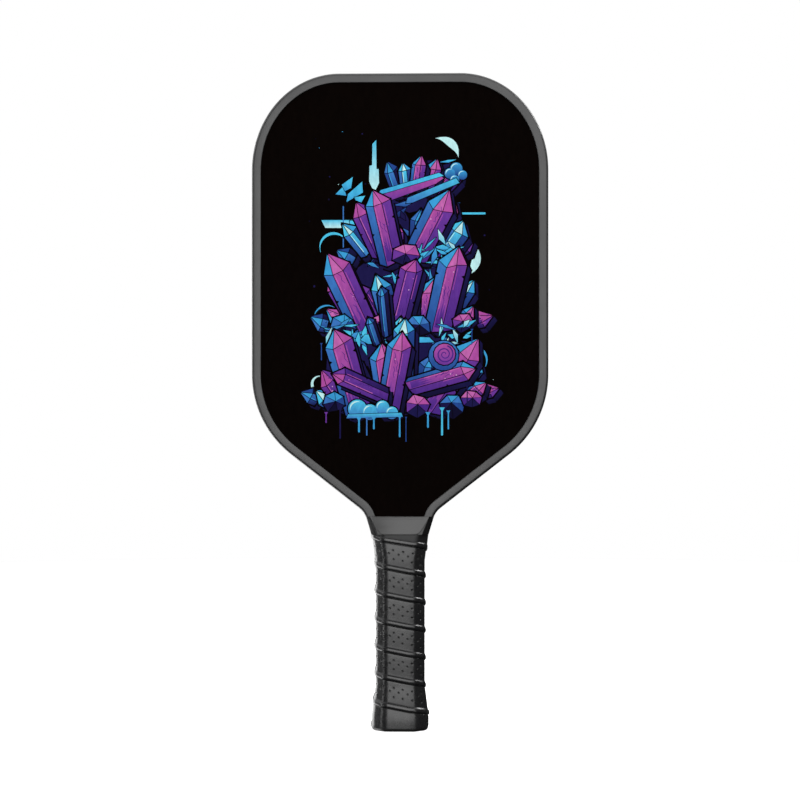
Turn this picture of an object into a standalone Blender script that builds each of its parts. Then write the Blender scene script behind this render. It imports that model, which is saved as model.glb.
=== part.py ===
"""Pickleball paddle: a honeycomb panel with its edge guard, and a handle with a wrapped grip.

Metres. The origin is the centre of the flat butt end, +Z runs up the handle to the head, the
front playing face looks to -Y, and +X is to the right seen from the front.
"""

import math

import bmesh
import bpy
import numpy as np

MM = 0.001

# Outer outline of the head, seen from the front
LENGTH = 419.0 * MM
HEAD_HALF = 94.6 * MM
CORNER_WIDE = 55.95 * MM
CORNER_TALL = 61.7 * MM
SHOULDER_RADIUS = 64.65 * MM
SHOULDER_Z = 227.05 * MM
SHOULDER_TURN = 52.0
NECK_BEND_Z = 142.0 * MM
NECK_BEND_RADIUS = 14.0 * MM
NECK_TURN = 17.0
TOP_STEPS = 10
SHOULDER_STEPS = 8
NECK_STEPS = 4

# Layers of the panel, as distances from its middle plane
CORE_HALF = 7.0 * MM
ADHESIVE_LAYER = (7.1 * MM, 7.3 * MM)
FACE_LAYER = (7.4 * MM, 8.0 * MM)
GRAPHIC_LAYER = (8.1 * MM, 8.35 * MM)
PANEL_INSET = 1.75 * MM
PANEL_FOOT_Z = 130.0 * MM
TONGUE_HALF = 10.0 * MM
TONGUE_TOP_Z = 128.0 * MM
TONGUE_END_Z = 24.0 * MM
GRAPHIC_FOOT_Z = 136.5 * MM

# Honeycomb cells, open through the core
CELL_PITCH = 16.0 * MM
CELL_WALL = 1.5 * MM
CORE_RIM = 6.0 * MM

# Edge guard, a U channel round the panel, and the tape that bonds it
GUARD_WIDTH = 6.0 * MM
GUARD_WALL = 1.2 * MM
GUARD_HALF = 9.6 * MM
GUARD_LIP = 1.1 * MM
GUARD_ROUND = 2.2 * MM
GUARD_LIP_CHAMFER = 0.4 * MM
GUARD_END_Z = 136.5 * MM
TAPE_SPAN = (1.3 * MM, 1.6 * MM)
TAPE_HALF = 7.6 * MM

# Bare handle: an octagon that changes along its height
HANDLE_START_Z = 2.3 * MM
COLLAR_Z = 125.3 * MM
COLLAR_STEP = 0.3 * MM
THROAT_Z = 136.2 * MM
HANDLE_HALF_WIDE = 13.9 * MM
HANDLE_HALF_DEEP = 12.2 * MM
HANDLE_BEVEL = 5.3 * MM
FLARE_START_Z = 108.0 * MM
FLARE_HALF_WIDE = 16.05 * MM
FLARE_HALF_DEEP = 10.9 * MM
COLLAR_HALF_DEEP = 12.3 * MM
THROAT_HALF_DEEP = 9.3 * MM
COLLAR_BEVEL = 4.0 * MM
THROAT_BEVEL = 3.0 * MM
FIT_GAP = 0.3 * MM

# Throat plates, on the sloping front and back of the handle's top
PLATE_THICK = 0.8 * MM
PLATE_GAP = 0.25 * MM
PLATE_FOOT_Z = 125.6 * MM
PLATE_TOP_HALF = 18.6 * MM
PLATE_SIDE_HALF = 16.65 * MM
PLATE_SIDE_Z = 132.3 * MM
PLATE_CORNER_HALF = 14.35 * MM
PLATE_CORNER_Z = 128.7 * MM
PLATE_FOOT_HALF = 11.3 * MM

# Butt cap: a flange with a skirt over the end of the handle
FLANGE_OUT = 3.85 * MM
FLANGE_HIGH = 2.0 * MM
FLANGE_CHAMFER = 0.6 * MM
SKIRT_OUT = 2.5 * MM
SKIRT_SHOULDER_Z = 8.0 * MM
SKIRT_TOP_Z = 20.0 * MM
SKIRT_TOP_OUT = 0.7 * MM
WRAP_OVER_SKIRT_TOP = 1.0 * MM
WRAP_RUNOUT = 8.0 * MM

# Staples through the skirt into the handle
STAPLE_Z = 8.0 * MM
STAPLE_HALF = 5.0 * MM
STAPLE_WIRE = 0.6 * MM
STAPLE_HIGH = 1.2 * MM
STAPLE_CROWN = 14.2 * MM
STAPLE_TIP = 9.6 * MM

# Wrapped grip: one helical strip of foam and skin, with a cord under the skin's lower edge
GRIP_PITCH = 17.5 * MM
RIB_Z = 15.0 * MM
RIB_ABOVE_EDGE = 1.15 * MM
GRIP_FOOT_Z = 2.3 * MM
GRIP_TOP_Z = 125.0 * MM
TAPE_RING = (2.7 * MM, 3.0 * MM)
TAPE_RING_FOOT_Z = 120.0 * MM

# Cross-sections along the strip: distance above its lower edge, height above the wrapped surface
SKIN_PROFILE = [
    (0.0, 1.3), (0.0, 2.3), (0.5, 2.6), (1.6, 2.6), (2.5, 1.8), (7.0, 1.8), (12.0, 1.8),
    (17.2, 1.8), (17.2, 1.3), (12.0, 1.3), (7.0, 1.3), (2.3, 1.3), (1.7, 2.05), (0.7, 2.05),
    (0.4, 1.3),
]
FOAM_PROFILE = [
    (0.0, 0.3), (0.0, 1.1), (2.3, 1.1), (7.0, 1.1), (12.0, 1.1), (17.2, 1.1), (17.2, 0.3),
    (12.0, 0.3), (7.0, 0.3), (2.3, 0.3),
]
CORD_PROFILE = [(0.6, 1.32), (0.85, 1.93), (1.6, 1.93), (2.05, 1.32)]


# Flat outlines: lists of (x, z) points


def arc(centre, radii, start, end, steps):
    """Points of an elliptical arc, with its angles in degrees from +X."""
    angles = np.radians(np.linspace(start, end, steps + 1))
    return [(centre[0] + radii[0] * math.cos(a), centre[1] + radii[1] * math.sin(a)) for a in angles]


def right_edge():
    """The right half of the head's outer edge, from the top down to the collar."""
    top_centre = (HEAD_HALF - CORNER_WIDE, LENGTH - CORNER_TALL)
    top = arc(top_centre, (CORNER_WIDE, CORNER_TALL), 90, 0, TOP_STEPS)
    shoulder_centre = (HEAD_HALF - SHOULDER_RADIUS, SHOULDER_Z)
    shoulder_radii = (SHOULDER_RADIUS, SHOULDER_RADIUS)
    shoulder = arc(shoulder_centre, shoulder_radii, 0, -SHOULDER_TURN, SHOULDER_STEPS)
    slope = math.tan(math.radians(SHOULDER_TURN))
    bend_x = shoulder[-1][0] - (shoulder[-1][1] - NECK_BEND_Z) * slope
    turn = math.radians(SHOULDER_TURN)
    bend_centre = (
        bend_x + NECK_BEND_RADIUS * math.cos(turn),
        NECK_BEND_Z - NECK_BEND_RADIUS * math.sin(turn),
    )
    bend_radii = (NECK_BEND_RADIUS, NECK_BEND_RADIUS)
    bend = arc(bend_centre, bend_radii, 180 - SHOULDER_TURN, 180 - NECK_TURN, NECK_STEPS)
    leg = (bend[-1][1] - COLLAR_Z) * math.tan(math.radians(NECK_TURN))
    return top + shoulder + bend + [(bend[-1][0] - leg, COLLAR_Z)]


def outer_edge():
    """The whole outer edge, clockwise from the left of the collar to the right of it."""
    right = right_edge()
    return [(-x, z) for x, z in reversed(right)] + right


def moved_inwards(points, distance):
    """An open clockwise line of points, moved to its inner side with mitred corners."""
    line = np.array(points)
    runs = np.diff(line, axis=0)
    runs /= np.linalg.norm(runs, axis=1, keepdims=True)
    normals = np.column_stack((runs[:, 1], -runs[:, 0]))
    before = np.vstack((normals[:1], normals))
    after = np.vstack((normals, normals[-1:]))
    mitres = (before + after) / (1 + np.sum(before * after, axis=1, keepdims=True))
    return [tuple(p) for p in line + distance * mitres]


def cut_at(points, low_z):
    """The line with both of its ends, which point down, cut off level at low_z."""
    kept = [p for p in points if p[1] > low_z]
    first = points.index(kept[0])
    last = points.index(kept[-1])
    ends = []
    for inner, outer in ((points[first], points[first - 1]), (points[last], points[last + 1])):
        share = (inner[1] - low_z) / (inner[1] - outer[1])
        ends.append((inner[0] + share * (outer[0] - inner[0]), low_z))
    return [ends[0]] + kept + [ends[1]]


def panel_outline(grow=0.0):
    """The panel with the tongue that runs down inside the handle."""
    head = cut_at(moved_inwards(outer_edge(), PANEL_INSET - grow), PANEL_FOOT_Z - grow)
    half = TONGUE_HALF + grow
    top = TONGUE_TOP_Z - grow
    end = TONGUE_END_Z - grow
    return head + [(half, top), (half, end), (-half, end), (-half, top)]


def inside(point, outline):
    """Whether a point is inside a closed outline."""
    crossings = 0
    for (x0, z0), (x1, z1) in zip(outline, outline[1:] + outline[:1]):
        if (z0 > point[1]) != (z1 > point[1]):
            crossings += point[0] < x0 + (point[1] - z0) * (x1 - x0) / (z1 - z0)
    return crossings % 2 == 1


def cell_outlines():
    """Hexagons in rows across the head, leaving out those that reach the core's rim."""
    rim = cut_at(moved_inwards(outer_edge(), PANEL_INSET + CORE_RIM), PANEL_FOOT_Z)
    radius = (CELL_PITCH - CELL_WALL) / math.sqrt(3)
    row_step = CELL_PITCH * math.sqrt(3) / 2
    most = math.ceil(HEAD_HALF / CELL_PITCH)
    cells = []
    for row in range(math.ceil((LENGTH - PANEL_FOOT_Z) / row_step)):
        z = LENGTH - PANEL_INSET - CORE_RIM - radius - row * row_step
        for column in range(-most, most + 1):
            x = (column + 0.5 * (row % 2)) * CELL_PITCH
            cell = [
                (x + radius * math.sin(turn), z + radius * math.cos(turn))
                for turn in np.radians(np.arange(0, 360, 60))
            ]
            if all(inside(corner, rim) for corner in cell):
                cells.append(cell)
    return cells


# Handle sections: octagons at a height z, pushed out by a distance


def handle_section(z):
    """Half width, half depth and bevel of the bare handle below its collar."""
    flare = (FLARE_START_Z, COLLAR_Z)
    wide = np.interp(z, flare, (HANDLE_HALF_WIDE, FLARE_HALF_WIDE))
    deep = np.interp(z, flare, (HANDLE_HALF_DEEP, FLARE_HALF_DEEP))
    return wide, deep, HANDLE_BEVEL


def throat_section(z):
    """Half width, half depth and bevel of the handle between its collar and its top."""
    edge = [p for p in right_edge() if p[1] < SHOULDER_Z - SHOULDER_RADIUS][::-1]
    wide = np.interp(z, [p[1] for p in edge], [p[0] for p in edge])
    span = (COLLAR_Z, THROAT_Z)
    deep = np.interp(z, span, (COLLAR_HALF_DEEP, THROAT_HALF_DEEP))
    return wide, deep, np.interp(z, span, (COLLAR_BEVEL, THROAT_BEVEL))


def octagon(section, out=0.0):
    """Corners (x, y) from the front right one round by the right, the back and the left."""
    wide = section[0] + out
    deep = section[1] + out
    cut = section[2] + (2 - math.sqrt(2)) * out
    quarter = [(wide - cut, -deep), (wide, cut - deep), (wide, deep - cut), (wide - cut, deep)]
    return quarter + [(-x, y) for x, y in reversed(quarter)]


def wrapped_out(z):
    """How far the surface under the grip stands out from the bare handle."""
    heights = (SKIRT_SHOULDER_Z, SKIRT_TOP_Z, SKIRT_TOP_Z + WRAP_RUNOUT)
    return np.interp(z, heights, (SKIRT_OUT, WRAP_OVER_SKIRT_TOP, 0))


# Solids


def material(name, colour, roughness, metallic=0.0):
    """A plain surface, made once for each name."""
    made = bpy.data.materials.get(name) or bpy.data.materials.new(name)
    made.use_nodes = True
    shader = made.node_tree.nodes["Principled BSDF"]
    shader.inputs["Base Color"].default_value = (*colour, 1.0)
    shader.inputs["Roughness"].default_value = roughness
    shader.inputs["Metallic"].default_value = metallic
    return made


def finish(name, mesh, look):
    """An object in the scene from a bmesh, as triangles with their faces turned outwards."""
    bmesh.ops.triangulate(mesh, faces=mesh.faces)
    bmesh.ops.recalc_face_normals(mesh, faces=mesh.faces)
    data = bpy.data.meshes.new(name)
    mesh.to_mesh(data)
    mesh.free()
    data.materials.append(look)
    made = bpy.data.objects.new(name, data)
    bpy.context.scene.collection.objects.link(made)
    return made


def slab(name, outlines, near, far, look):
    """A flat solid between two distances from the middle plane: an outline, then its holes."""
    mesh = bmesh.new()
    for outline in outlines:
        corners = [mesh.verts.new((x, near, z)) for x, z in outline]
        for a, b in zip(corners, corners[1:] + corners[:1]):
            mesh.edges.new((a, b))
    bmesh.ops.triangle_fill(mesh, edges=mesh.edges[:], use_beauty=True)
    grown = bmesh.ops.extrude_face_region(mesh, geom=mesh.faces[:])
    moved = [v for v in grown["geom"] if isinstance(v, bmesh.types.BMVert)]
    bmesh.ops.translate(mesh, verts=moved, vec=(0, far - near, 0))
    return finish(name, mesh, look)


def tube_of_rings(name, rings, look, closed=False):
    """Rings of points joined one to the next, with the first and last filled or joined."""
    mesh = bmesh.new()
    loops = [[mesh.verts.new(p) for p in ring] for ring in rings]
    pairs = list(zip(loops, loops[1:]))
    if closed:
        pairs.append((loops[-1], loops[0]))
    for low, high in pairs:
        for a, b, c, d in zip(low, low[1:] + low[:1], high[1:] + high[:1], high):
            mesh.faces.new((a, b, c, d))
    if not closed:
        mesh.faces.new(loops[0])
        mesh.faces.new(loops[-1])
    return finish(name, mesh, look)


def subtract(target, cutter):
    """A live Boolean cut, which leaves the cutter out of the model."""
    cut = target.modifiers.new("cut_" + cutter.name, "BOOLEAN")
    cut.operation = "DIFFERENCE"
    cut.object = cutter
    cutter.hide_render = True
    cutter.display_type = "WIRE"


# The panel


def honeycomb_core():
    look = material("core_polypropylene", (0.78, 0.80, 0.78), 0.5)
    slab("honeycomb_core", [panel_outline()] + cell_outlines(), -CORE_HALF, CORE_HALF, look)


def panel_layers(side, sign):
    """The film of glue, the stiff sheet and the printed film on one face of the core."""
    glue = material("adhesive_film", (0.62, 0.55, 0.36), 0.45)
    sheet = material("face_composite", (0.03, 0.03, 0.032), 0.5)
    print_film = material("graphic_film", (0.004, 0.003, 0.003), 0.75)
    head = cut_at(moved_inwards(outer_edge(), PANEL_INSET), GRAPHIC_FOOT_Z)
    layers = (
        ("adhesive_film", panel_outline(), ADHESIVE_LAYER, glue),
        ("face_sheet", panel_outline(), FACE_LAYER, sheet),
        ("graphic_film", head, GRAPHIC_LAYER, print_film),
    )
    for name, outline, (near, far), look in layers:
        slab(f"{side}_{name}", [outline], sign * near, sign * far, look)


# The edge guard


def guard_section():
    """Half of the channel's section: distance in from the outer edge, distance from the middle."""
    rounding = [
        (GUARD_ROUND * (1 - math.cos(turn)), GUARD_HALF - GUARD_ROUND * (1 - math.sin(turn)))
        for turn in np.radians((0, 45, 90))
    ]
    inner = GUARD_HALF - GUARD_LIP
    lip = [
        (GUARD_WIDTH - GUARD_LIP_CHAMFER, GUARD_HALF),
        (GUARD_WIDTH, GUARD_HALF - GUARD_LIP_CHAMFER),
        (GUARD_WIDTH, inner),
        (GUARD_WALL, inner),
    ]
    return rounding + lip


def swept_round_head(name, section, look):
    """A section carried round the head's outer edge and cut off level above the throat."""
    outer = outer_edge()
    inner = moved_inwards(outer, GUARD_WIDTH)
    whole = [i for i, pair in enumerate(zip(outer, inner)) if min(z for _, z in pair) > GUARD_END_Z]
    rings = [[] for _ in range(len(whole) + 2)]
    for inwards, y in section:
        line = moved_inwards(outer, inwards)
        ends = cut_at(line, GUARD_END_Z)
        stations = [ends[0]] + [line[i] for i in whole] + [ends[-1]]
        for ring, (x, z) in zip(rings, stations):
            ring.append((x, y, z))
    return tube_of_rings(name, rings, look)


def edge_guard():
    look = material("guard_plastic", (0.13, 0.13, 0.135), 0.42)
    half = guard_section()
    mirrored = [(inwards, -y) for inwards, y in reversed(half)]
    swept_round_head("edge_guard", half + mirrored, look)


def edge_guard_tape():
    look = material("bonding_tape", (0.55, 0.52, 0.45), 0.7)
    near, far = TAPE_SPAN
    section = [(near, TAPE_HALF), (far, TAPE_HALF), (far, -TAPE_HALF), (near, -TAPE_HALF)]
    swept_round_head("edge_guard_tape", section, look)


# The handle


def half_octagon(section, sign):
    """The corners of a section on one side of the split between the two shells."""
    corners = [(x, y) for x, y in octagon(section) if y * sign > 0]
    wide = section[0]
    split = sign * FIT_GAP / 2
    if sign < 0:
        return [(-wide, split)] + corners[2:] + corners[:2] + [(wide, split)]
    return [(wide, split)] + corners + [(-wide, split)]


def handle_shell(side, sign, cutters):
    """Half of the handle, hollow for the tongue, with a collar and a flared throat."""
    look = material("handle_plastic", (0.02, 0.02, 0.021), 0.4)
    levels = [(z, handle_section(z)) for z in (HANDLE_START_Z, FLARE_START_Z, COLLAR_Z)]
    bends = [z for _, z in right_edge()[::-1] if COLLAR_Z < z < THROAT_Z]
    heights = [COLLAR_Z + COLLAR_STEP] + bends + [THROAT_Z]
    levels += [(z, throat_section(z)) for z in heights]
    rings = [[(x, y, z) for x, y in half_octagon(section, sign)] for z, section in levels]
    shell = tube_of_rings(f"{side}_handle_shell", rings, look)
    for cutter in cutters:
        subtract(shell, cutter)


def tongue_cutter():
    """The hollow that the panel's tongue and foot sit in, open at the handle's top."""
    look = material("cutter", (1, 0, 0), 1)
    deep = FACE_LAYER[1] + FIT_GAP
    return slab("tongue_hollow", [panel_outline(FIT_GAP)], -deep, deep, look)


def plate_outline():
    """A wide top edge, and sides that draw in more and more towards the foot."""
    upper = [(PLATE_TOP_HALF, THROAT_Z), (PLATE_SIDE_HALF, PLATE_SIDE_Z)]
    lower = [(PLATE_CORNER_HALF, PLATE_CORNER_Z), (PLATE_FOOT_HALF, PLATE_FOOT_Z)]
    right = upper + lower
    return right + [(-x, z) for x, z in reversed(right)]


def throat_plate(side, sign):
    """A thin plate that follows the slope of the handle's top."""
    look = material("throat_plastic", (0.14, 0.14, 0.145), 0.38)
    plate = slab(f"{side}_throat_plate", [plate_outline()], 0, sign * PLATE_THICK, look)
    for point in plate.data.vertices:
        point.co.y += sign * (throat_section(point.co.z)[1] + PLATE_GAP)


def butt_cap(cutters):
    look = material("butt_plastic", (0.015, 0.015, 0.016), 0.45)
    levels = [
        (0.0, FLANGE_OUT - FLANGE_CHAMFER),
        (FLANGE_CHAMFER, FLANGE_OUT),
        (FLANGE_HIGH, FLANGE_OUT),
        (FLANGE_HIGH, SKIRT_OUT),
        (SKIRT_SHOULDER_Z, SKIRT_OUT),
        (SKIRT_TOP_Z, SKIRT_TOP_OUT),
        (SKIRT_TOP_Z, FIT_GAP),
        (FLANGE_HIGH, FIT_GAP),
    ]
    rings = [[(x, y, z) for x, y in octagon(handle_section(z), out)] for z, out in levels]
    cap = tube_of_rings("butt_cap", rings, look)
    for cutter in cutters:
        subtract(cap, cutter)


def staple(name, sign, grow, look):
    """A U of wire with its crown on the skirt and its legs in the handle."""
    outer = STAPLE_HALF + grow
    inner = STAPLE_HALF - STAPLE_WIRE - grow
    crown = STAPLE_CROWN + grow
    under = STAPLE_CROWN - STAPLE_WIRE - grow
    tip = STAPLE_TIP - grow
    bends = [(-outer, tip), (-outer, crown), (outer, crown), (outer, tip)]
    insides = [(-inner, tip), (-inner, under), (inner, under), (inner, tip)]
    high = STAPLE_HIGH / 2 + grow
    rings = [
        [(x, sign * y, STAPLE_Z + z) for (x, y), z in ((a, -high), (a, high), (b, high), (b, -high))]
        for a, b in zip(bends, insides)
    ]
    return tube_of_rings(name, rings, look)


# The grip


def turn_shares():
    """How far round the handle each corner of its section is, from the middle of the front."""
    corners = octagon(handle_section(0))
    points = [(0.0, corners[0][1])] + corners
    sides = [math.dist(a, b) for a, b in zip(points, points[1:])]
    return np.cumsum(sides) / (sum(sides) + sides[0])


def wound_strip(name, profile, look, trim):
    """A section wound down round the handle, its ends cut level at the grip's foot and top."""
    shares = turn_shares()
    top_turn = math.ceil((GRIP_TOP_Z - RIB_Z) / GRIP_PITCH)
    rings = []
    for turn in range(top_turn, -2, -1):
        for corner, share in enumerate(shares):
            edge = RIB_Z - RIB_ABOVE_EDGE + GRIP_PITCH * (turn - share)
            ring = []
            for above, height in profile:
                z = edge + above * MM
                out = wrapped_out(z) + height * MM
                ring.append((*octagon(handle_section(z), out)[corner], z))
            rings.append(ring)
    strip = tube_of_rings(name, rings, look)
    for cutter in trim:
        subtract(strip, cutter)


def trim_block(name, low, high):
    """A block wider than the grip, to cut the wound strips off level."""
    half = 3 * HANDLE_HALF_WIDE
    corners = [(half, half), (-half, half), (-half, -half), (half, -half)]
    rings = [[(x, y, z) for x, y in corners] for z in (low, high)]
    return tube_of_rings(name, rings, material("cutter", (1, 0, 0), 1))


def wrapped_grip():
    foam = material("grip_foam", (0.10, 0.10, 0.10), 0.9)
    cord = material("rib_cord", (0.06, 0.06, 0.06), 0.8)
    skin = material("grip_skin", (0.022, 0.022, 0.023), 0.42)
    reach = 2 * GRIP_PITCH
    trim = [
        trim_block("trim_foot", GRIP_FOOT_Z - reach, GRIP_FOOT_Z),
        trim_block("trim_top", GRIP_TOP_Z, GRIP_TOP_Z + reach),
    ]
    wound_strip("grip_foam_backing", FOAM_PROFILE, foam, trim)
    wound_strip("grip_rib_cord", CORD_PROFILE, cord, trim)
    wound_strip("grip_outer_skin", SKIN_PROFILE, skin, trim)


def finishing_tape():
    """The band that holds the grip's top end down."""
    look = material("finishing_tape", (0.012, 0.012, 0.013), 0.35)
    near, far = TAPE_RING
    levels = [(TAPE_RING_FOOT_Z, near), (TAPE_RING_FOOT_Z, far), (GRIP_TOP_Z, far), (GRIP_TOP_Z, near)]
    rings = [[(x, y, z) for x, y in octagon(handle_section(z), out)] for z, out in levels]
    tube_of_rings("finishing_tape", rings, look, closed=True)


def main():
    for old in list(bpy.data.objects):
        bpy.data.objects.remove(old)
    honeycomb_core()
    edge_guard()
    edge_guard_tape()
    hollow = tongue_cutter()
    wire = material("staple_steel", (0.6, 0.6, 0.6), 0.35, metallic=1.0)
    slots = []
    for side, sign in (("front", -1), ("rear", 1)):
        panel_layers(side, sign)
        throat_plate(side, sign)
        staple(f"{side}_butt_staple", sign, 0.0, wire)
        slot = staple(f"{side}_staple_slot", sign, FIT_GAP, wire)
        handle_shell(side, sign, (hollow, slot))
        slots.append(slot)
    butt_cap(slots)
    wrapped_grip()
    finishing_tape()


main()
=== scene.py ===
"""Looks of the pickleball paddle: printed faces, edge guard, handle, wrapped grip and studio.

Metres, in the CAD's frame: +Z up the handle, the front face looks to -Y, and the butt end is at 0.
"""

import bisect
import math
import random

import bmesh
import bpy
import numpy as np
from mathutils import Matrix, Vector
from mathutils.geometry import delaunay_2d_cdt


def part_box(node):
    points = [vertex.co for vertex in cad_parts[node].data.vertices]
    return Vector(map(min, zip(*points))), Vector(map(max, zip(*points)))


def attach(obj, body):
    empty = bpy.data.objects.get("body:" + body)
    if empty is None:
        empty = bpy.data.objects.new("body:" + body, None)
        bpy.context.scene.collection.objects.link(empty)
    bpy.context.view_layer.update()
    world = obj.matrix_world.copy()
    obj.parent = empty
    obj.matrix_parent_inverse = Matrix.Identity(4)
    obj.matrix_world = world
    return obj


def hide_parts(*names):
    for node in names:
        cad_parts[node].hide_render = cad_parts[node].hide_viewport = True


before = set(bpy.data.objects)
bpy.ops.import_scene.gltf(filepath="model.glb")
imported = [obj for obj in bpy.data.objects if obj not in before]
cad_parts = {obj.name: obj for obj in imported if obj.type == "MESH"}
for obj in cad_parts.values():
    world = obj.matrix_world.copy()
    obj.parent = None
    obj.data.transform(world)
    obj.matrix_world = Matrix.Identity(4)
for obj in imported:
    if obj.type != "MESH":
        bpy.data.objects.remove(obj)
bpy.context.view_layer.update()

MM = 0.001

# Lowest and highest corners, and heights, from the frame
GUARD_LOW, GUARD_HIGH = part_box("edge_guard")
FILM_LOW, FILM_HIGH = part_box("front_graphic_film")
GRIP_FOOT_Z, GRIP_TOP_Z = (corner.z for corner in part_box("grip_outer_skin"))
THROAT_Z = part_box("front_handle_shell")[1].z
SKIRT_TOP_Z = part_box("butt_cap")[1].z

# Head outline, with its turns in degrees
LENGTH = GUARD_HIGH.z
HEAD_HALF = GUARD_HIGH.x
CORNER_WIDE = 55.95 * MM
CORNER_TALL = 61.7 * MM
SHOULDER_RADIUS = 64.65 * MM
SHOULDER_Z = 227.05 * MM
SHOULDER_TURN = 52.0
NECK_BEND_Z = 142.0 * MM
NECK_BEND_RADIUS = 14.0 * MM
NECK_TURN = 17.0
COLLAR_Z = 125.3 * MM
PANEL_INSET = 1.75 * MM

# Edge guard section: lip width, wall at the rim, lip thickness and roundings
GUARD_WIDTH = 6.0 * MM
GUARD_WALL = 1.2 * MM
GUARD_HALF = GUARD_HIGH.y
GUARD_LIP = 1.1 * MM
GUARD_ROUND = 1.9 * MM
LIP_ROUND = 0.45 * MM
GUARD_STEP = 6.0 * MM

# Handle sections, from the bare octagon to the collar and the throat above it
HANDLE_HALF_WIDE = 13.9 * MM
HANDLE_HALF_DEEP = 12.2 * MM
HANDLE_BEVEL = 5.3 * MM
FLARE_START_Z = 108.0 * MM
FLARE_HALF_WIDE = 16.05 * MM
FLARE_HALF_DEEP = 10.9 * MM
COLLAR_HALF_DEEP = 12.3 * MM
THROAT_HALF_DEEP = 9.3 * MM
COLLAR_BEVEL = 4.0 * MM
THROAT_BEVEL = 3.0 * MM
HANDLE_CORNER = 1.6 * MM
SHELL_WALL = 1.4 * MM
SHELL_ROOM = 8.5 * MM
PARTING_HALF_GAP = 0.15 * MM
# Levels of the shells' rings below and above the collar's foot, in millimetres
LOWER_LEVELS = (2.4, 8, 20, 60, 112, 115, 117.5, 120, 122.5)
UPPER_LEVELS = (127, 129, 130, 132, 134, 135.6)
COLLAR_GAP = 0.02 * MM
COLLAR_STEP = 0.05 * MM
GUARD_FOOT_GAP = 0.01 * MM

# Throat plate: the right side of its outline, outwards from its foot, in millimetres
PLATE_SIDE = ((10.2, 125.15), (11.2, 125.4), (12.5, 126.4), (13.5, 127.5), (14.4, 128.8),
              (15.1, 129.9), (15.85, 131.0), (16.7, 132.4), (17.8, 134.4), (18.75, 136.45))
PLATE_GAP = 0.25 * MM
PLATE_THICK = 0.8 * MM
PLATE_ROUND = 0.2 * MM
# Its bead, a flat bar with softened edges. Section: height over the throat, and out from the plate.
# Stations: place along the bar, and share of the section, so that its ends are tucked in
BEAD_SECTION = ((-1.35, -0.3), (-1.35, 0.02), (-1.15, 0.13), (0.18, 0.13), (0.25, 0.06), (0.25, -0.3))
BEAD_STATIONS = ((-14.9, 0.3), (-14.8, 0.8), (-14.7, 1.0), (14.7, 1.0), (14.8, 0.8), (14.9, 0.3))

# Butt cap, with its skirt under the grip
SKIRT_OUT = 2.5 * MM
SKIRT_SHOULDER_Z = 8.0 * MM
SKIRT_TOP_OUT = 0.7 * MM
CAP_BORE_OUT = 0.12 * MM
CAP_FLOOR_Z = 2.4 * MM
CAP_MIDDLE_OUT = -9.5 * MM
# Its end and its flange, in millimetres: out from the bare handle, and height
END_PROFILE = ((-9.5, 0.35), (-8.9, 0.3), (-8.6, 0.0), (-3.4, 0.0), (-3.2, 0.3), (-2.6, 0.3), (-2.4, 0.0))
FLANGE_PROFILE = ((1.1, 0.0), (1.8, 0.04), (2.5, 0.17), (3.05, 0.4), (3.55, 0.72), (3.88, 1.12), (4.08, 1.6),
                  (4.15, 2.2), (2.5, 2.22))

# Wrapped grip: a helical strip with a rib on its lower edge
GRIP_PITCH = 17.5 * MM
STRIP_WIDE = 17.2 * MM
RIB_Z = 15.0 * MM
RIB_ABOVE_EDGE = 1.15 * MM
WRAP_CORNER = 5.5 * MM
WRAP_CORNER_POINTS = 11
WRAP_OVER_SKIRT_TOP = 1.0 * MM
WRAP_RUNOUT = 8.0 * MM
WRAP_SECTION_STEP = 0.05 * MM
COLLAR_FOOT_Z = GRIP_TOP_Z + COLLAR_GAP
# The strip's upper surface, in millimetres: place across it, and out from what it is wrapped on
SKIN_OUT = 1.8
SKIN_UNDER = 1.25
STRIP_PROFILE = (
    (0.0, 1.3), (0.0, 1.75), (0.08, 1.98), (0.3, 2.22), (0.65, 2.42), (1.0, 2.55), (1.4, 2.61), (1.9, 2.62),
    (2.35, 2.58), (2.7, 2.46), (3.0, 2.27), (3.3, 2.07), (3.6, 1.9), (4.0, 1.82),
    *((across, SKIN_OUT) for across in (4.6, 6.4, 9.2, 12.0, 14.9, 16.2)),
    (16.8, 1.77), (17.08, 1.66), (17.2, 1.4),
)
SKIN_STEP = 2.6 * MM
EDGE_CLEAR = 0.25 * MM
# The rib is pressed flat from this turn on, under the tape, within a share of a turn
TAPED_TURN = 6.25
TAPED_RUNOUT = 0.06
# The rib's shine starts at this height in millimetres and is full a little above it
SHINE_OUT = 2.35
SHINE_RISE = 0.25
SHINE_FULL = 1.3
# Rows of perforations: millimetres above the strip's lower edge, and shift along it in steps
HOLE_ROWS = ((13.15, 0.632), (10.85, 0.08), (7.45, 0.632))
HOLES_PER_TURN = 16
HOLE_TURNS = (-0.375, 5.625)
# Rings of points that make one perforation: radius and depth in millimetres, painted shade and number
HOLE_RINGS = ((1.0, 0.0, 0.0, 8), (0.72, 0.0, 0.0, 10), (0.54, 0.1, 0.75, 10), (0.36, 0.3, 1.0, 8),
              (0.0, 0.34, 1.0, 1))
# The tape's foot follows the rib of the seventh turn. Its band: share of its height, and out
TAPE_TURN = 6
TAPE_FOOT_ABOVE = 1.25 * MM
TAPE_PROFILE = ((0, 1.84), (0, 2.0), (0.05, 2.08), (0.3, 2.08), (0.6, 2.08), (0.95, 2.08), (1, 2.0),
                (1, 1.84))

# Studio: the camera is turned a few degrees towards +X, level with the paddle's middle
CAMERA_TURN = 2.0
CAMERA_DISTANCE = 1.5
CAMERA_HEIGHT = 0.2107
CAMERA_SHIFT = -0.1 * MM
VIEW_WIDE = 0.5128
MIDDLE = (0, 0, 0.21)
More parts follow.
